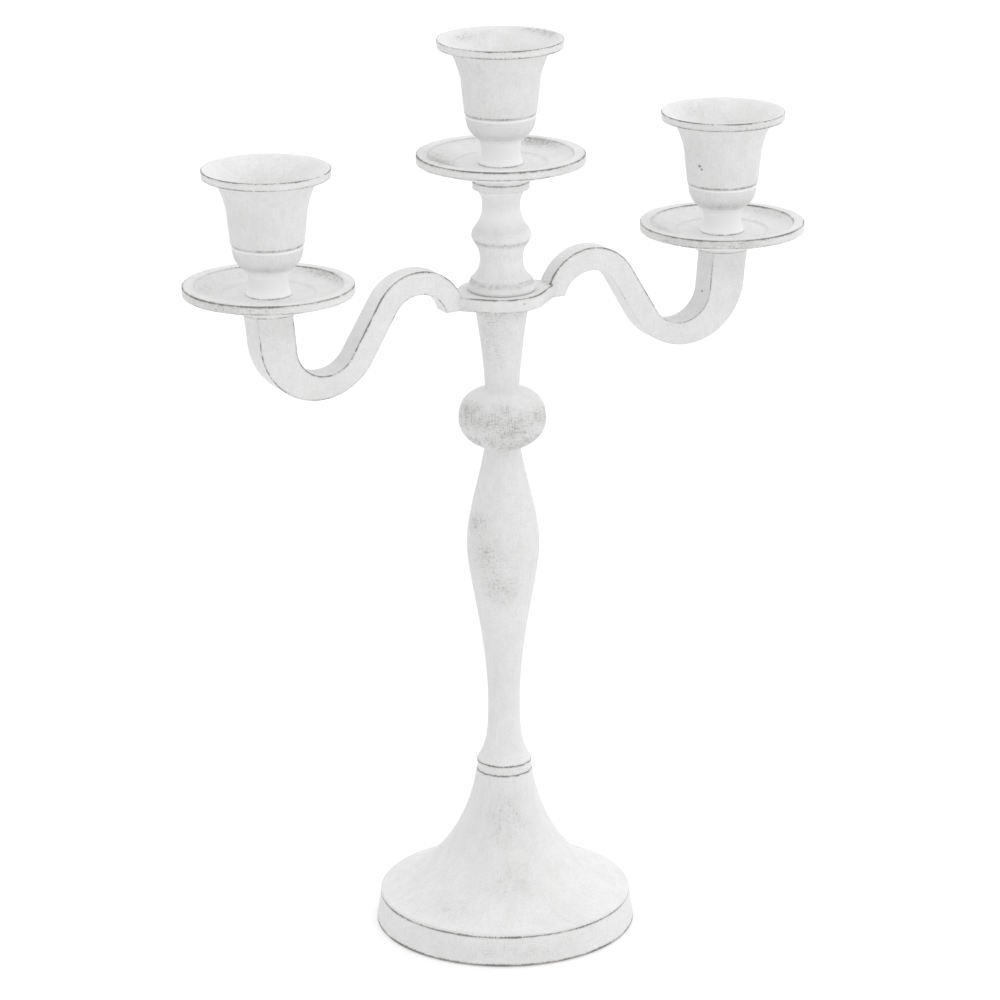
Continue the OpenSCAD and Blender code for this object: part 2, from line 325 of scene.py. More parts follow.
def hex_nut(name, at, flats, height, bore_r, turns=96):
    """A hexagon nut whose corners are cut by a 30 degree chamfer at both ends."""
    inner = flats / 2
    verts, faces = [], []
    for k in range(turns):
        angle = 2 * math.pi * k / turns
        within = (math.degrees(angle) + 30) % 60 - 30
        out = inner / math.cos(math.radians(within))
        fall = (out - inner * 0.97) * math.tan(math.radians(30))
        rings = [
            (bore_r + 0.5, 0), (inner * 0.97, 0), (out, fall),
            (out, height - fall), (inner * 0.97, height), (bore_r + 0.5, height),
            (bore_r, height - 0.5), (bore_r, 0.5),
        ]
        for r, z in rings:
            verts.append((at[0] + r * math.cos(angle), at[1] + r * math.sin(angle), at[2] + z))
    size = 8
    for k in range(turns):
        j = (k + 1) % turns
        for i in range(size):
            n = (i + 1) % size
            faces.append((k * size + i, j * size + i, j * size + n, k * size + n))
    piece = face_outwards(add_object(name, verts, faces))
    piece.data.set_sharp_from_angle(angle=math.radians(25))
    return piece


# ---------------------------------------------------------------- shader helpers

class Graph:
    """Builds one material's nodes. A value given to an input may be a number or another output."""

    def __init__(self, name):
        self.material = bpy.data.materials.new(name)
        self.material.use_nodes = True
        self.tree = self.material.node_tree
        self.tree.nodes.clear()
        output = self.tree.nodes.new("ShaderNodeOutputMaterial")
        self.shader = self.tree.nodes.new("ShaderNodeBsdfPrincipled")
        self.tree.links.new(self.shader.outputs[0], output.inputs[0])

    def put(self, socket, value):
        if isinstance(value, bpy.types.NodeSocket):
            self.tree.links.new(value, socket)
        else:
            socket.default_value = value

    def add(self, kind, inputs=None, out=0, **settings):
        node = self.tree.nodes.new("ShaderNode" + kind)
        for key, value in settings.items():
            setattr(node, key, value)
        for key, value in (inputs or {}).items():
            self.put(node.inputs[key], value)
        return node.outputs[out]

    def math(self, operation, a, b=0.0, clamp=False):
        return self.add("Math", {0: a, 1: b}, operation=operation, use_clamp=clamp)

    def attribute(self, name, out="Fac"):
        return self.add("Attribute", out=out, attribute_name=name)

    def stretch(self, vector, scale, shift=(0, 0, 0)):
        return self.add("Mapping", {"Vector": vector, "Scale": scale, "Location": shift})

    def noise(self, vector, scale, detail=4.0, rough=0.55):
        inputs = {"Vector": vector, "Scale": scale, "Detail": detail, "Roughness": rough}
        return self.add("TexNoise", inputs)

    def ramp(self, value, low, high, to_low=0.0, to_high=1.0, smooth=True):
        inputs = {"Value": value, "From Min": low, "From Max": high,
                  "To Min": to_low, "To Max": to_high}
        kind = "SMOOTHSTEP" if smooth else "LINEAR"
        return self.add("MapRange", inputs, interpolation_type=kind)

    def mix(self, factor, a, b, blend="MIX"):
        node = self.tree.nodes.new("ShaderNodeMix")
        node.data_type = "RGBA"
        node.blend_type = blend
        self.put(node.inputs["Factor"], factor)
        self.put(node.inputs[6], a)
        self.put(node.inputs[7], b)
        return node.outputs[2]

    def surface(self, **inputs):
        for key, value in inputs.items():
            self.put(self.shader.inputs[key.replace("_", " ")], value)


def grey(value, warmth=0.0):
    return (value * (1 + warmth), value, value * (1 - warmth), 1)


# ---------------------------------------------------------------- materials

def worn_white_paint(pits):
    """Matt white paint wiped over a grey casting, worn through on the edges."""
    g = Graph("worn_white_paint")
    grain = g.attribute("grain", "Vector")
    edge = g.attribute("edge")
    rub_and_shading = g.attribute("rub_and_shading")

    strokes = g.noise(g.stretch(grain, (2.2, 2.2, 0.14)), 1.0, 3, 0.6)
    along = g.noise(g.stretch(grain, (2.3, 2.3, 0.4), (31, 7, 3)), 1.0, 3, 0.6)
    across = g.noise(g.stretch(grain, (0.4, 0.4, 2.3), (3, 17, 9)), 1.0, 3, 0.6)
    mottle = g.noise(g.stretch(grain, (0.16, 0.16, 0.12), (5, 11, 17)), 1.0, 4, 0.6)
    crumbs = g.noise(g.stretch(grain, (2.0, 2.0, 2.0), (2, 3, 5)), 1.0, 4, 0.7)
    slow = g.noise(g.stretch(grain, (0.11, 0.11, 0.11), (13, 1, 29)), 1.0, 5, 0.68)

    # A thin grey wash lies over the white, except at painted highlights, where the colour is
    # lifted towards white as if lit.
    painted_highlight = g.ramp(rub_and_shading, -0.6, 0.0, 1.0, 0.0)
    wash = g.mix(g.ramp(mottle, 0.36, 0.66), grey(WASH_LIGHT), grey(WASH_DARK, 0.003))
    wash = g.mix(g.ramp(strokes, 0.40, 0.70, 0, 0.13), wash, grey(0.60, 0.003))
    wash = g.mix(g.ramp(crumbs, 0.42, 0.70, 0, 0.26), wash, grey(0.56, 0.004))
    weave = g.math("MAXIMUM", along, across)
    wash = g.mix(g.ramp(weave, 0.50, 0.72, 0, 0.26), wash, grey(0.56, 0.004))
    white = g.mix(painted_highlight, wash, grey(HIGHLIGHT_WHITE))

    # Rubbed patches and painted shade: the colour greys smoothly as the spots' amount rises, as
    # rubbed wear in some spots and as painted shade in others; then crossing hair lines and specks
    # open up and show the metal.
    white = g.mix(g.ramp(rub_and_shading, 0.0, 1.0, 0.0, 0.5), white, grey(0.42, 0.01))
    open_at = g.math("SUBTRACT", 0.64, g.math("MULTIPLY", rub_and_shading, 0.24))
    torn = g.math("ADD", g.math("MULTIPLY", weave, 0.68), g.math("MULTIPLY", crumbs, 0.16))
    torn = g.math("ADD", torn, g.math("MULTIPLY", mottle, 0.16))
    rubbed = g.ramp(g.math("SUBTRACT", torn, open_at), -0.02, 0.14)
    rubbed = g.math("MULTIPLY", rubbed, g.ramp(rub_and_shading, 0.18, 0.45), clamp=True)
    white = g.mix(g.math("MULTIPLY", rubbed, 0.58), white, grey(0.25, 0.03))

    # Soft grey beside an edge, then the bare line along it.
    ragged = g.math("ADD", edge, g.math("MULTIPLY", g.math("SUBTRACT", crumbs, 0.5), 1.2))
    ragged = g.math("ADD", ragged, g.math("MULTIPLY", g.math("SUBTRACT", strokes, 0.5), 1.1))
    halo = g.ramp(ragged, 0.0, 1.3, 0.42, 0.0)
    halo = g.math("MULTIPLY", halo, g.ramp(slow, 0.35, 0.62, 0.25, 1.0))
    white = g.mix(halo, white, grey(0.38, 0.02))
    width = g.ramp(slow, 0.36, 0.6, 0.12, 0.40)
    bare = g.ramp(g.math("SUBTRACT", ragged, width), -0.16, 0.18, 1.0, 0.0)
    below = g.mix(g.ramp(slow, 0.4, 0.6), grey(0.24, 0.09), grey(0.13, 0.07))
    colour = g.mix(g.math("MULTIPLY", bare, 0.82), white, below)

    holes = 0.0
    place = g.add("TexCoord", out="Object")
    for point, size, depth in pits:
        apart = g.add("VectorMath", {0: place, 1: point}, out="Value", operation="DISTANCE")
        jag = g.math("MULTIPLY", g.math("SUBTRACT", crumbs, 0.5), 0.0006)
        hole = g.ramp(g.math("ADD", apart, jag), size * 0.55, size, depth, 0.0)
        holes = g.math("MAXIMUM", hole, holes)
    colour = g.mix(g.math("MULTIPLY", holes, 0.85), colour, grey(0.09))

    height = g.math("MULTIPLY", weave, 0.8)
    height = g.math("ADD", height, g.math("MULTIPLY", strokes, 0.3))
    height = g.math("SUBTRACT", height, g.math("MULTIPLY", bare, 0.5))
    height = g.math("SUBTRACT", height, g.math("MULTIPLY", holes, 3.0))
    bump = g.add("Bump", {"Strength": 0.3, "Distance": 0.00006, "Height": height})
    g.surface(
        Base_Color=colour,
        Roughness=g.ramp(bare, 0, 1, 0.66, 0.45),
        Specular_IOR_Level=0.2,
        Normal=bump,
    )
    return g.material


def cast_metal():
    """Bare sand-cast aluminium inside the foot, dusted with overspray."""
    g = Graph("cast_metal")
    place = g.stretch(g.add("TexCoord", out="Object"), (1000, 1000, 1000))
    sand = g.noise(place, 1.4, 6, 0.7)
    cloud = g.noise(place, 0.09, 4, 0.6)
    colour = g.mix(g.ramp(cloud, 0.35, 0.65), grey(0.42), grey(0.58))
    colour = g.mix(g.ramp(sand, 0.4, 0.7, 0, 0.5), colour, grey(0.25))
    bump = g.add("Bump", {"Strength": 0.6, "Distance": 0.0003, "Height": sand})
    rough = g.ramp(sand, 0.3, 0.7, 0.5, 0.72)
    g.surface(Base_Color=colour, Roughness=rough, Metallic=0.7, Normal=bump)
    return g.material


def zinc_steel():
    """Zinc-plated steel with fine turning marks and dull spangle."""
    g = Graph("zinc_steel")
    place = g.stretch(g.add("TexCoord", out="Object"), (1000, 1000, 1000))
    turned = g.noise(g.stretch(place, (0.25, 0.25, 7)), 1.0, 3, 0.5)
    dull = g.noise(place, 0.5, 4, 0.6)
    colour = g.mix(g.ramp(dull, 0.35, 0.7), grey(0.62, -0.01), grey(0.46, 0.015))
    bump = g.add("Bump", {"Strength": 0.25, "Distance": 0.00005, "Height": turned})
    rough = g.math("ADD", g.ramp(dull, 0.3, 0.7, 0.24, 0.42), g.math("MULTIPLY", turned, 0.08))
    g.surface(Base_Color=colour, Roughness=rough, Metallic=1.0, Normal=bump)
    return g.material


def wool_felt():
    """Dark grey felt with matted fibres."""
    g = Graph("wool_felt")
    place = g.stretch(g.add("TexCoord", out="Object"), (1000, 1000, 1000))
    fibre = g.noise(g.stretch(place, (3, 0.7, 2)), 1.0, 6, 0.75)
    across = g.noise(g.stretch(place, (0.7, 3, 2), (9, 4, 1)), 1.0, 6, 0.75)
    mat = g.math("MAXIMUM", fibre, across)
    colour = g.mix(g.ramp(mat, 0.45, 0.75), grey(0.05), grey(0.15, 0.01))
    bump = g.add("Bump", {"Strength": 0.9, "Distance": 0.0004, "Height": mat})
    g.surface(Base_Color=colour, Roughness=g.ramp(mat, 0.4, 0.8, 0.98, 0.85), Sheen_Weight=0.4,
              Normal=bump)
    return g.material


# ---------------------------------------------------------------- placing

def level(node):
    """Height of a CAD node's lowest point, in millimetres."""
    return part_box(node)[0].z / MM


def top(node):
    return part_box(node)[1].z / MM


def axis_of(node):
    """Where a CAD node's vertical axis stands, in millimetres."""
    low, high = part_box(node)
    return ((low.x + high.x) / 2 / MM, (low.y + high.y) / 2 / MM)


def body_of(node):
    for name, members in frame["record"]["behaviour"]["bodies"].items():
        if node in members:
            return name
    raise ValueError(node)


def install(piece, node, material):
    """Puts a finished piece in a CAD node's place."""
    piece.data.materials.append(material)
    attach(piece, body_of(node))
    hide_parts(node)
    return piece


# ---------------------------------------------------------------- turned castings

def foot_outline():
    outline = [corner(3.3, 71.1, 0, 0.2), corner(12.3, 71.1, 0.75, 0.3)]
    outline += bezier((12.3, 71.1), (15.3, 50.3), (27, 24.5), (54, 14.9), 40)[1:]
    outline += bezier((54, 14.9), (55.3, 14.7), (55.75, 14.1), (55.5, 13), 5)[1:-1]
    outline += [corner(55.5, 13, 1.1, 0.45, (-160, 0.35)), corner(57.45, 0, 1.6, 0.6)]
    outline += [corner(56.3, 0, 0, 0.3), corner(56.3, 0.8, 0, 0.1), corner(50.5, 0.8, 0, 0.6)]
    outline += bezier((50.5, 8), (23, 24.7), (11, 43.7), (11, 51.6), 30)[:-1]
    return outline + [corner(11, 51.6, 0, 0.5), corner(3.3, 51.6, 0, 0.2)]


def make_foot(paint, metal):
    """The foot: painted outside, bare metal in its hollow."""
    spots = [
        (45, 19, 9, -150, 26, 0.34), (32, 29, 16, -112, 34, 0.36), (56.5, 6, 7, FRONT, 60, 0.32),
        (50, 16, 8, -85, 22, 0.3), (17, 54, 22, -120, 60, 0.4), (30, 32, 16, 60, 50, 0.4),
    ]
    foot = lathe("foot", foot_outline(), (0, 0, level("foot")), 34, 224, spots, 0.3)
    foot.data.materials.append(paint)
    foot.data.materials.append(metal)
    low = level("foot") * MM
    for face in foot.data.polygons:
        r = math.hypot(face.center.x, face.center.y) / MM
        z = (face.center.z - low) / MM
        hollow = face.normal.x * face.center.x + face.normal.y * face.center.y < 0
        if hollow and z > 1.5 and r < 50.6 and z < 51.7:
            face.material_index = 1
    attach(foot, body_of("foot"))
    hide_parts("foot")


def collar_outline():
    return [
        corner(3.3, 0, 0, 0.2), corner(12.1, 0, 0.95, 0.35),
        corner(12.1, 4.5, 0.95, 0.35), corner(3.3, 4.5, 0, 0.2),
    ]


def lower_stem_outline():
    outline = [corner(3.3, 0, 0, 0.2), corner(12.2, 0, 0.8, 0.3)]
    outline += bezier((12.2, 0.3), (7.7, 6.4), (7.04, 14.2), (7.04, 26), 16)[1:]
    outline += bezier((7.04, 26), (7.04, 58.2), (15.9, 85.3), (15.9, 100.5), 30)[1:]
    outline += bezier((15.9, 100.5), (15.9, 114.6), (10.4, 128.4), (7.85, 144.8), 18)[1:-1]
    return outline + [corner(7.85, 144.8, 0.1, 0.2), corner(3.3, 144.8, 0, 0.2)]


def ball_outline():
    height, widest_z, ball_r = 26.1, 12.2, 19
    outline = [corner(3.3, 0, 0, 0.2)]
    for i in range(41):
        z = height * i / 40
        half, power = (13.5, 2) if z < widest_z else (14.4, 2.6)
        r = ball_r * (1 - (abs(z - widest_z) / half) ** power) ** (1 / power)
        outline.append(corner(r, z, 0, 0.2) if i in (0, 40) else (r, z))
    return outline + [corner(3.3, height, 0, 0.2)]


def upper_stem_outline():
    outline = [corner(3.3, 0, 0, 0.2), corner(8.7, -0.3, 0, 0.1), (7.9, 0.3), (7.6, 0.9)]
    outline += bezier((7.5, 0), (7.5, 10.2), (11.4, 36.4), (11.9, 38.2), 18)[1:-1]
    return outline + [corner(11.9, 38.2, 0.3, 0.3), corner(3.3, 38.2, 0, 0.2)]


def centre_post_outline():
    outline = [(0, 15.2), corner(3.05, 15.2, 0, 0.2), corner(3.05, 0, 0, 0.3)]
    outline += [corner(14.2, 0, 0.55, 0.3), corner(14.9, 1, 0.2, 0.5), corner(13.2, 5.2, 0.5, 0.35)]
    outline += bezier((13.2, 5.2), (10.3, 7.8), (9.3, 9.8), (9.3, 14), 14)[1:]
    outline += bezier((9.3, 14), (9.3, 19.8), (12.9, 21.5), (12.9, 24), 14)[1:]
    outline += bezier((12.9, 24), (12.9, 28.3), (8.2, 28.3), (8.2, 38), 16)[1:]
    outline += bezier((8.2, 38), (8.2, 39.9), (9.2, 43.5), (11.4, 44.5), 10)[1:]
    outline += [corner(12.3, 44.6, 0.35, 0.3), corner(12.3, 47.7, 0.75, 0.3)]
    return outline + [corner(2.55, 47.7, 0, 0.3), corner(2.55, 34.5, 0, 0.2), (0, 34.5)]


def make_column(paint):
    """The turned pieces from the collar up.

    Each has its outline, the radius to which its brush strokes are scaled, and its spots: rubbed
    wear, painted shade, and painted highlights where the amount is negative.
    """
    steps = (
        ("collar", collar_outline(), 12, [(12, 2, 4, FRONT, 90, 0.15)]),
        ("lower_stem", lower_stem_outline(), 13, [
            # Rubbed specks; the two broad all-round spots grey the belly and neck as painted shade.
            (14.5, 112, 9, -165, 42, 0.5), (15.5, 98, 12, -150, 60, 0.46),
            (14.5, 84, 12, -125, 60, 0.46), (14, 96, 50, None, 0, 0.22),
            (7, 40, 30, None, 0, 0.22), (13, 74, 14, 40, 60, 0.4),
        ]),
        ("ball_knop", ball_outline(), 18, [
            # Rubbed wear; the spots low on the ball's underside are painted shade as well.
            (18, 15, 8, None, 0, 0.56), (17, 18.5, 6, -172, 36, 0.66), (16, 19.5, 5, -118, 26, 0.6),
            (18.6, 11, 8, -105, 60, 0.6), (16, 5.5, 7, None, 0, 0.6), (13, 3, 6, -100, 60, 0.72),
        ]),
        ("upper_stem", upper_stem_outline(), 11, [
            # Painted shade: darker all round, more towards -X and the front, most just under the
            # hub.
            (10, 26, 26, -150, 80, 0.4), (9, 20, 30, None, 0, 0.26), (12, 37, 7, None, 0, 0.48),
        ]),
        ("centre_post", centre_post_outline(), 13, [
            (12.3, 21.6, 1.9, None, 0, 0.66), (13.8, 4.2, 1.6, None, 0, 0.5),
            # The three spots below are painted highlights, lifted towards white as if lit.
            (10, 33, 6, None, 0, -0.35), (13, 26, 3, -60, 70, -0.25), (9.5, 12, 4, None, 0, -0.15),
        ]),
    )
    for number, (node, outline, grain_r, spots) in enumerate(steps):
        piece = lathe(node, outline, (0, 0, level(node)), grain_r, 128, spots, 1.7 + number)
        install(piece, node, paint)


def drip_pan_outline(groove_wear, ring_wear):
    """A pan's outline, with the wear of its rim's inner edge and of the faint ring in its dish."""
    outline = [corner(2.75, 0, 0, 0.2), corner(12.3, 0, 0.85, 0.35), corner(12.3, 2.4, 0, 0.3)]
    outline += bezier((34.5, 8.25), (30.1, 6.25), (22.3, 3.4), (12.3, 2.4), 16)[::-1][1:]
    outline += [corner(36.1, 8.25, 0.85, 0.4, FRONT_LEAN), corner(36.1, 12, 1.15, 0.4, FRONT_LEAN)]
    outline += [corner(31.25, 12, groove_wear, 0.3, BACK_LEAN), corner(30.85, 11.4, 0.2, 0.2)]
    outline += bezier((30.7, 11.4), (28.2, 9.8), (24.2, 8.9), (21.2, 8.55), 14)[1:]
    outline += [corner(20.2, 8.4, ring_wear, 0.7), corner(19.1, 7.6, 0, 0.9)]
    return outline + [corner(2.75, 7.6, 0, 0.2)]


def raised(points, height):
    """Outline points moved up by a height."""
    return [(r, z + height) for r, z in points]


def candle_cup_outline():
    """A cup's outline: its socket, its funnel and rim, the bell, the groove, the bowl, the waist."""
    rim = 53.7
    outline = [(0, rim - 36), corner(11.5, rim - 36, 0, 1.0)]
    outline += raised(bezier((11.5, -18), (14, -9), (20, -3), (26.2, 0.0), 22)[:-1], rim)
    outline += [corner(27.1, rim - 0.05, 1.0, 0.4, FRONT_LEAN), corner(26.8, rim - 3.6, 0.95, 0.4)]
    outline += [corner(21.9, rim - 3.6, 0, 0.5)]
    outline += raised(bezier((21.8, -3.6), (19.2, -9), (16.9, -15), (16.7, -20), 16)[1:], rim)
    outline += [corner(15.5, rim - 31.6, 0.72, 0.25), corner(14.7, rim - 31.9, 0.6, 0.15)]
    outline += [corner(15.05, rim - 32.6, 0, 0.25)]
    bowl = bezier((15.05, -32.6), (15.05, -38), (12.6, -40.7), (10.6, -42.2), 14)[1:]
    outline += raised(bowl, rim)
    outline += [corner(9.9, rim - 42.6, 0, 0.25), corner(9.9, rim - 43.1, 0.35, 0.3)]
    outline += raised(bezier((9.3, -43.2), (8, -46), (8, -50), (9.65, -53.1), 16), rim)
    outline += [corner(9.7, 0, 0.8, 0.35), corner(4.75, 0, 0, 0.2), corner(4.75, 1.2, 0, 0.2)]
    return outline + [corner(2.55, 1.2, 0, 0.2), corner(2.55, 13.2, 0, 0.2), (0, 13.2)]


# The wear of each pan's inner rim edge and of the faint ring in its dish, and then its spots:
# rubbed wear, and a broad patch of painted shade on the -X side of its dish.
PAN_WEAR = {"left": (0.95, 0), "centre": (0.7, 0), "right": (1.15, 0.3)}
PAN_SPOTS = {
    "left": [(26, 10, 8, 150, 50, 0.42), (36, 10, 4, -150, 60, 0.5), (30, 11, 4, 10, 40, 0.6)],
    "centre": [(27, 10, 9, 170, 45, 0.75), (30, 11, 5, 30, 36, 0.7), (36, 10, 3, -60, 50, 0.35)],
    "right": [(28, 11, 8, 170, 40, 0.6), (36, 10, 4, -130, 70, 0.5), (30, 11, 6, 10, 50, 0.45)],
}
# Painted highlights on every cup, lifted towards white as if lit: its waist, the ring under its
# bowl and the top edge of its bowl. Then each cup's spots: rubbed wear, with a broad patch of
# painted shade on the -X side of its bell.
HIGHLIGHT_NECK = (8.5, 5, 6, None, 0, -1.0)
HIGHLIGHT_RING = (9.9, 10.8, 0.7, None, 0, -0.9)
HIGHLIGHT_BOWL_TOP = (15, 20.8, 0.5, None, 0, -0.45)
CUP_HIGHLIGHTS = [HIGHLIGHT_NECK, HIGHLIGHT_RING, HIGHLIGHT_BOWL_TOP]
CUP_SPOTS = {
    "left": [(16.8, 33, 10, -150, 60, 0.2), (12.5, 13, 2.6, FRONT, 80, 0.55),
             (26, 51, 3, -30, 60, 0.3)],
    "centre": [(18, 44, 10, -160, 60, 0.28), (12.5, 13, 2.6, FRONT, 70, 0.5),
               (22, 51, 4, 100, 40, 0.45), (25, 53, 4, 10, 40, 0.6)],
    "right": [(16.8, 36, 14, 175, 60, 0.34), (12.5, 13, 3.4, FRONT, 80, 0.62),
              (26, 51, 3, FRONT, 90, 0.4), (20, 50, 7, 100, 50, 0.35)],
}


def make_places(paint, steel):
    """The three places: a drip pan, a stud, a washer and a candle cup at each."""
    for number, side in enumerate(SIDES):
        x, y = axis_of(f"drip_pan_{side}")
        foot_z = level(f"drip_pan_{side}")
        pan = lathe(f"drip_pan_{side}", drip_pan_outline(*PAN_WEAR[side]), (x, y, foot_z), 26, 192,
                    PAN_SPOTS[side], 8.1 + number)
        install(pan, f"drip_pan_{side}", paint)

        cup_z = level(f"candle_cup_{side}")
        cup = lathe(f"candle_cup_{side}", candle_cup_outline(), (x, y, cup_z), 17, 160,
                    CUP_SPOTS[side] + CUP_HIGHLIGHTS, 13.3 + number)
        install(cup, f"candle_cup_{side}", paint)

        stud_z = level(f"cup_stud_{side}")
        length = top(f"cup_stud_{side}") - stud_z
        stud = threaded_rod(f"cup_stud_{side}", (x, y, stud_z), length, 2.5, 0.8, [(0, length)])
        install(stud, f"cup_stud_{side}", steel)

        washer_z = level(f"cup_washer_{side}")
        ring = [corner(2.65, 0, 0, 0.15), corner(4.6, 0, 0, 0.3),
                corner(4.6, 1.2, 0, 0.3), corner(2.65, 1.2, 0, 0.15)]
        washer = lathe(f"cup_washer_{side}", ring, (x, y, washer_z), 4, 64, uneven=0)
        install(washer, f"cup_washer_{side}", steel)


# ---------------------------------------------------------------- arms

# How far the bar's flanks lean from upright, in degrees.
FLANK = 31
# The hub is round, with straight sides that run out to the root of each arm.
HUB_R = 18.6
ROOT_X = 23
ROOT_HALF = 4.2
# The numbers of the bar's stations at the arm's root, where the crest starts and the valley starts.
ROOT_FROM = 2
CREST_FROM = 5
VALLEY_FROM = 42


def bar_stations(hub_low, hub_top, reach, tip):
    """Pairs of (lower, upper) points along one arm's bar, from the hub to the upright's top."""
    valley_out, valley_out_r = (reach - 21, hub_top - 6.8), 28.5
    valley_in, valley_in_r = (reach - 23.6, hub_top - 11), 14.1

    def crest(x, high, valley, r):
        """The circle whose top is (x, high) and which shares a flank with a valley circle."""
        c, s = math.cos(math.radians(FLANK)), math.sin(math.radians(FLANK))
        across = valley[0] - r * c - x
        rise = high - valley[1] + r * s
        radius = (across * c - rise * s) / (1 - s)
        return (x, high - radius), radius

    def straight(a, b, parts):
        """Points between a and b, without its ends."""
        return [tuple(Vector(a).lerp(Vector(b), k / parts)) for k in range(1, parts)]

    crest_in, crest_in_r = crest(41.5, hub_top + 3.8, valley_out, valley_out_r)
    crest_out, crest_out_r = crest(41.9, hub_top + 14, valley_in, valley_in_r)
    in_start = 180 - math.degrees(math.asin((hub_low - crest_in[1]) / crest_in_r))
    out_start = 180 - math.degrees(math.asin((hub_top - crest_out[1]) / crest_out_r))
    lower = arc(crest_in, crest_in_r, in_start, FLANK, 30)
    upper = arc(crest_out, crest_out_r, out_start, FLANK, 30)
    lower_turn = arc(valley_out, valley_out_r, 180 + FLANK, 360, 34)
    upper_turn = arc(valley_in, valley_in_r, 180 + FLANK, 360, 34)

    root = (ROOT_X, hub_low)
    inside_hub = straight((6, hub_low), root, 3) + [root] + straight(root, lower[0], 3)
    lower = inside_hub + lower + straight(lower[-1], lower_turn[0], 7) + lower_turn
    upper = straight((6, hub_top), upper[0], 6) + upper
    upper += straight(upper[-1], upper_turn[0], 7) + upper_turn
    outside, inside = (reach + 8.9, tip), (reach - 8, tip)
    lower += straight(lower[-1], outside, 5) + [outside]
    upper += straight(upper[-1], inside, 5) + [inside]
    return list(zip(lower, upper))


def bar_half_depth(x, reach):
    """Half the bar's depth, front to back, at a distance x from the column's axis."""
    at_tip = 6.75
    share = (abs(x) - ROOT_X) / (reach - ROOT_X)
    return ROOT_HALF + (at_tip - ROOT_HALF) * max(0.0, share)


def hub_reach(angle):
    """How far the hub's side stands from the axis in a direction given in radians."""
    off = abs((angle + math.pi / 2) % math.pi - math.pi / 2)
    lead = math.atan2(ROOT_HALF, ROOT_X) + math.acos(HUB_R / math.hypot(ROOT_X, ROOT_HALF))
    if off >= lead:
        return HUB_R
    return min(HUB_R / math.cos(lead - off), (ROOT_X - 0.05) / math.cos(off))


def shape_hub(hub):
    """Pulls the turned disc out to the hub's real outline."""
    bore_r = 3.05
    for vertex in hub.data.vertices:
        r = math.hypot(vertex.co.x, vertex.co.y) / MM
        out = hub_reach(math.atan2(vertex.co.y, vertex.co.x))
        share = (out - bore_r) / (HUB_R - bore_r)
        wanted = bore_r + (r - bore_r) * share
        vertex.co.x *= wanted / r
        vertex.co.y *= wanted / r


def bar_section(low, high, reach):
    """One rounded four-sided section of the bar, as [x, y, z] points in order."""
    a = Vector((low[0], -bar_half_depth(low[0], reach), low[1]))
    b = Vector((high[0], -bar_half_depth(high[0], reach), high[1]))
    c = Vector((high[0], bar_half_depth(high[0], reach), high[1]))
    d = Vector((low[0], bar_half_depth(low[0], reach), low[1]))
    section = []
    corners = (a, b, c, d)
    for i, here in enumerate(corners):
        before = (corners[i - 1] - here)
        after = (corners[(i + 1) % 4] - here)
        start = here + before.normalized() * 0.5
        end = here + after.normalized() * 0.5
        for reach_back in (2.2, 1.1, 0.7):
            section.append(here + before.normalized() * reach_back)
        for k in range(CORNER_STEPS + 1):
            t = k / CORNER_STEPS
            section.append(start.lerp(here, t).lerp(here.lerp(end, t), t))
        for reach_on in (0.7, 1.1, 2.2):
            section.append(here + after.normalized() * reach_on)
    return section, corners


def make_bar(name, side, stations, reach):
    """A swept bar with eased edges, and its four long edge lines as lists of points."""
    verts, faces, lines = [], [], ([], [], [], [])
    for low, high in stations:
        section, corners = bar_section(low, high, reach)
        for p in section:
            verts.append((p.x * side, p.y, p.z))
        for line, p in zip(lines, corners):
            line.append(Vector((p.x * side, p.y, p.z)))
    size = len(verts) // len(stations)
    for i in range(len(stations) - 1):
        for k in range(size):
            j = (k + 1) % size
            a, b = i * size, (i + 1) * size
            faces.append((a + k, a + j, b + j, b + k))
    faces.append(tuple(range(size)))
    faces.append(tuple(range(len(verts) - size, len(verts)))[::-1])
    return face_outwards(add_object(name, verts, faces)), lines


def edge_trees(groups):
    """One search tree per wear, over points laid closely along each edge line."""
    trees = []
    for wear, lines in groups:
        points = []
        for line in lines:
            for a, b in zip(line, line[1:]):
                parts = max(1, math.ceil((b - a).length / 0.25))
                points += [a.lerp(b, k / parts) for k in range(parts)]
        tree = kdtree.KDTree(len(points))
        for i, p in enumerate(points):
            tree.insert(p, i)
        tree.balance()
        trees.append((wear, tree))
    return trees


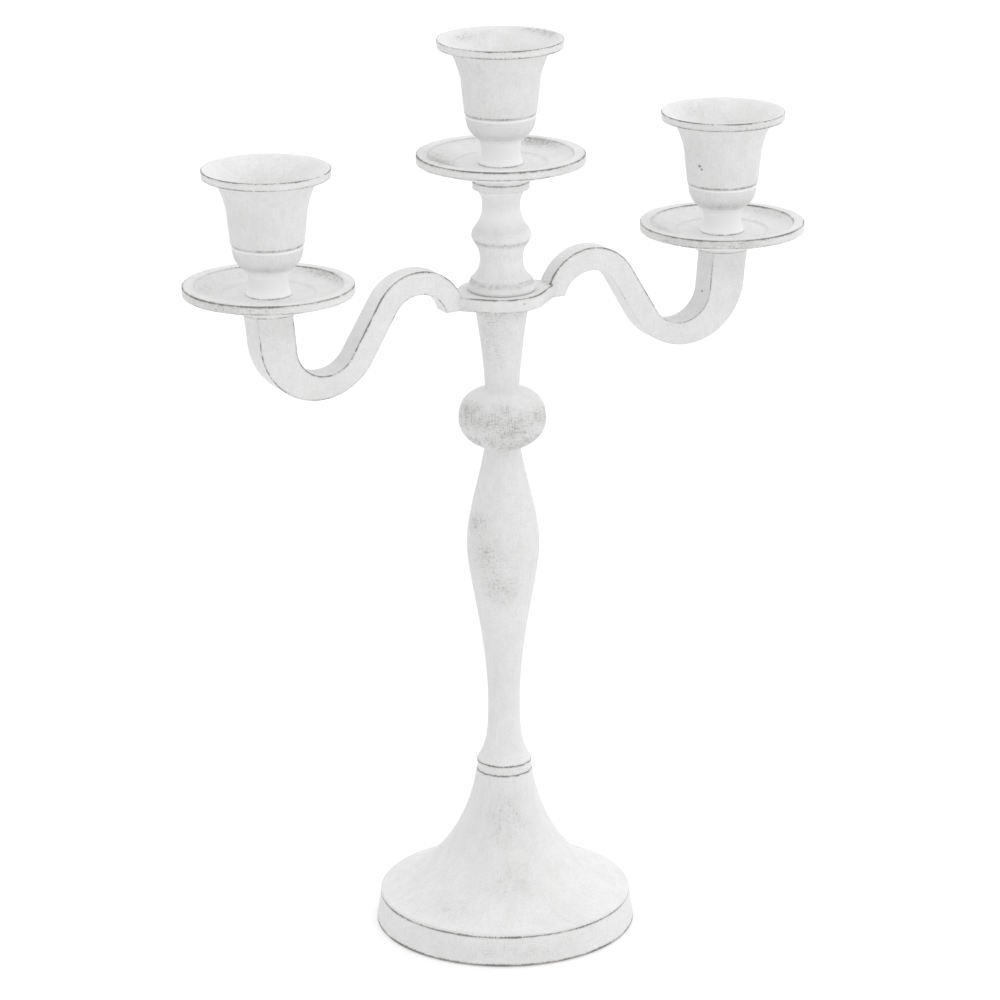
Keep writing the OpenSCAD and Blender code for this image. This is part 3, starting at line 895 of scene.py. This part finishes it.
def make_arms(paint):
    """The hub and both S-shaped arms, joined into one casting."""
    hub_low = top("upper_stem")
    hub_top = level("centre_post")
    reach = axis_of("drip_pan_right")[0]
    tip = level("drip_pan_right")
    stations = bar_stations(hub_low, hub_top, reach, tip)
    thick = hub_top - hub_low
    disc = [
        corner(3.05, 0, 0, 0.2), corner(HUB_R, 0, 0, 0.5),
        corner(HUB_R, thick, 0, 0.45), corner(3.05, thick, 0, 0.2),
    ]
    arms = lathe("arm_casting", disc, (0, 0, hub_low), 20, 180, uneven=0.06)
    shape_hub(arms)
    strong, weak, backs, left_unders, right_unders = [], [], [], [], []
    for side in (-1, 1):
        bar, lines = make_bar("bar", side, stations, reach)
        arms = boolean(arms, bar, "UNION")
        crest, valley = lines[1][CREST_FROM:VALLEY_FROM + 1], lines[1][VALLEY_FROM:]
        strong += [crest] if side > 0 else [crest, valley]
        weak += [valley] if side > 0 else []
        backs += [lines[2][CREST_FROM:]]
        unders = left_unders if side < 0 else right_unders
        unders += [lines[0][ROOT_FROM:], lines[3][ROOT_FROM:]]
        hole = lathe("hole", [(0, 0), corner(2.55, 0, 0, 0.1), corner(2.55, 15, 0, 0.1), (0, 15)],
                     (side * reach, 0, tip - 13.2), 4, 48, uneven=0)
        arms = boolean(arms, hole, "DIFFERENCE")

    def rim(z):
        """The hub's edge at a height, front and back, from one arm's root to the other's."""
        halves = []
        skip = math.atan2(ROOT_HALF, ROOT_X)
        for start in (0, math.pi):
            turns = np.linspace(start + skip, start + math.pi - skip, 121)
            halves.append([Vector((hub_reach(a) * math.cos(a), hub_reach(a) * math.sin(a), z))
                           for a in turns])
        return halves

    trees = edge_trees((
        (1.1, strong), (0.82, weak), (0.8, backs), (0.95, left_unders), (0.55, right_unders),
        (1.1, rim(hub_top)), (0.85, rim(hub_low)),
    ))
    mesh = arms.data
    for old in ("edge", "grain", "rub_and_shading"):
        if mesh.attributes.get(old):
            mesh.attributes.remove(mesh.attributes[old])
    edge, grain, rub_and_shading = [], [], []
    for vertex in mesh.vertices:
        p = vertex.co / MM
        away = min(tree.find(p)[2] + (1 - wear) * EDGE_FADE for wear, tree in trees)
        edge.append(min(away, EDGE_REACH))
        grain.append((p.x + 210, p.y * 1.2 - 60, p.z))
        near_tip = math.exp(-((abs(p.x) - reach) ** 2 + (p.z - tip + 6) ** 2) / 90)
        in_valley = math.exp(-((abs(p.x) - 84) ** 2 + (p.z - 259) ** 2) / 160)
        at_hub = math.exp(-((abs(p.x) - 20) ** 2 + (p.z - hub_low) ** 2) / 60)
        rub_and_shading.append(max(0.4 * near_tip, 0.3 * in_valley, 0.4 * at_hub))
    for key, values in (("edge", edge), ("rub_and_shading", rub_and_shading)):
        attribute = mesh.attributes.new(key, "FLOAT", "POINT")
        attribute.data.foreach_set("value", np.array(values, np.float32))
    attribute = mesh.attributes.new("grain", "FLOAT_VECTOR", "POINT")
    attribute.data.foreach_set("vector", np.array(grain, np.float32).ravel())
    mesh.polygons.foreach_set("use_smooth", [True] * len(mesh.polygons))
    mesh.set_sharp_from_angle(angle=math.radians(32))
    mesh.materials.clear()
    install(arms, "arm_casting", paint)


# ---------------------------------------------------------------- fasteners and felt

def make_hardware(steel, felt):
    """The tie rod with its nut and washer, and the felt ring under the foot."""
    rod_z = level("tie_rod")
    length = top("tie_rod") - rod_z
    rod = threaded_rod("tie_rod", (0, 0, rod_z), length, 3, 1.0, [(0, 26), (length - 20, length)])
    install(rod, "tie_rod", steel)
    nut_z = level("base_nut")
    nut = hex_nut("base_nut", (0, 0, nut_z), 10, top("base_nut") - nut_z, 3.05)
    install(nut, "base_nut", steel)
    ring = [corner(3.2, 0, 0, 0.2), corner(9, 0, 0, 0.4),
            corner(9, 1.6, 0, 0.25), corner(3.2, 1.6, 0, 0.2)]
    washer = lathe("base_washer", ring, (0, 0, level("base_washer")), 8, 96, uneven=0)
    install(washer, "base_washer", steel)
    ring = [corner(50.65, 0, 0, 0.3), corner(56.15, 0, 0, 0.3),
            corner(56.15, 1.2, 0, 0.2), corner(50.65, 1.2, 0, 0.2)]
    pad = lathe("felt_ring", ring, (0, 0, 0), 50, 256, uneven=0.1, seed=4.0)
    install(pad, "felt_ring", felt)


# ---------------------------------------------------------------- studio

def make_camera():
    """A camera that stands to the left of the front and looks slightly down."""
    stand = math.radians(VIEW_AZIMUTH)
    turn = math.radians(VIEW_AZIMUTH + CAMERA_YAW)
    pitch = math.radians(CAMERA_PITCH)
    roll = math.radians(CAMERA_ROLL)
    forward = Vector((math.sin(turn) * math.cos(pitch), math.cos(turn) * math.cos(pitch),
                      -math.sin(pitch)))
    right = Vector((math.cos(turn), -math.sin(turn), 0))
    up = right.cross(forward)
    x_axis = right * math.cos(roll) - up * math.sin(roll)
    y_axis = right * math.sin(roll) + up * math.cos(roll)
    place = Vector((-math.sin(stand), -math.cos(stand), 0)) * CAMERA_DISTANCE
    place.z = CAMERA_HEIGHT
    data = bpy.data.cameras.new("camera")
    data.sensor_width = 36
    data.lens = CAMERA_LENS
    data.clip_end = 50
    camera = bpy.data.objects.new("camera", data)
    basis = Matrix((x_axis, y_axis, -forward)).transposed().to_4x4()
    camera.matrix_world = Matrix.Translation(place) @ basis
    bpy.context.scene.collection.objects.link(camera)
    bpy.context.scene.camera = camera


def make_studio():
    """The floor and the white tent around it."""
    g = Graph("studio_floor")
    g.surface(Base_Color=grey(FLOOR_WHITE), Roughness=0.9, Emission_Color=grey(1.0),
              Emission_Strength=FLOOR_GLOW)
    quarters = ((-1, -1), (1, -1), (1, 1), (-1, 1))
    floor = add_object("floor", [(x * FLOOR_REACH, y * FLOOR_REACH, 0) for x, y in quarters],
                       [(0, 1, 2, 3)])
    floor.data.materials.append(g.material)

    # A white tent: brightest overhead and towards +X.
    world = bpy.data.worlds.new("studio")
    bpy.context.scene.world = world
    world.use_nodes = True
    nodes, links = world.node_tree.nodes, world.node_tree.links
    direction = nodes.new("ShaderNodeTexCoord").outputs["Generated"]
    side = nodes.new("ShaderNodeVectorMath")
    side.operation = "DOT_PRODUCT"
    side.inputs[1].default_value = (TENT_SIDE, 0, TENT_TOP)
    links.new(direction, side.inputs[0])
    brightness = nodes.new("ShaderNodeMath")
    brightness.operation = "ADD"
    brightness.inputs[1].default_value = TENT_BASE
    links.new(side.outputs["Value"], brightness.inputs[0])
    # Seen directly, past the floor's edge, the tent is as white as the floor.
    seen = nodes.new("ShaderNodeMix")
    links.new(nodes.new("ShaderNodeLightPath").outputs["Is Camera Ray"], seen.inputs["Factor"])
    links.new(brightness.outputs[0], seen.inputs["A"])
    seen.inputs["B"].default_value = TENT_SEEN
    nodes["Background"].inputs["Color"].default_value = (1, 1, 1, 1)
    links.new(seen.outputs["Result"], nodes["Background"].inputs["Strength"])
    bpy.context.scene.view_settings.view_transform = "Standard"


# ---------------------------------------------------------------- all together

# Casting pits: (place in metres, radius in metres, depth from 0 to 1).
PITS = (
    ((0.0943, -0.0061, 0.3351), 0.0008, 0.9),
    ((0.0948, -0.007, 0.3337), 0.0007, 0.8),
    ((0.1001, 0, 0.2769), 0.0008, 0.9),
    ((0.0011, -0.0185, 0.2885), 0.0007, 0.4),
)

make_camera()
paint_material = worn_white_paint(PITS)
metal_material = cast_metal()
steel_material = zinc_steel()
felt_material = wool_felt()
make_foot(paint_material, metal_material)
make_column(paint_material)
make_arms(paint_material)
make_places(paint_material, steel_material)
make_hardware(steel_material, felt_material)
make_studio()
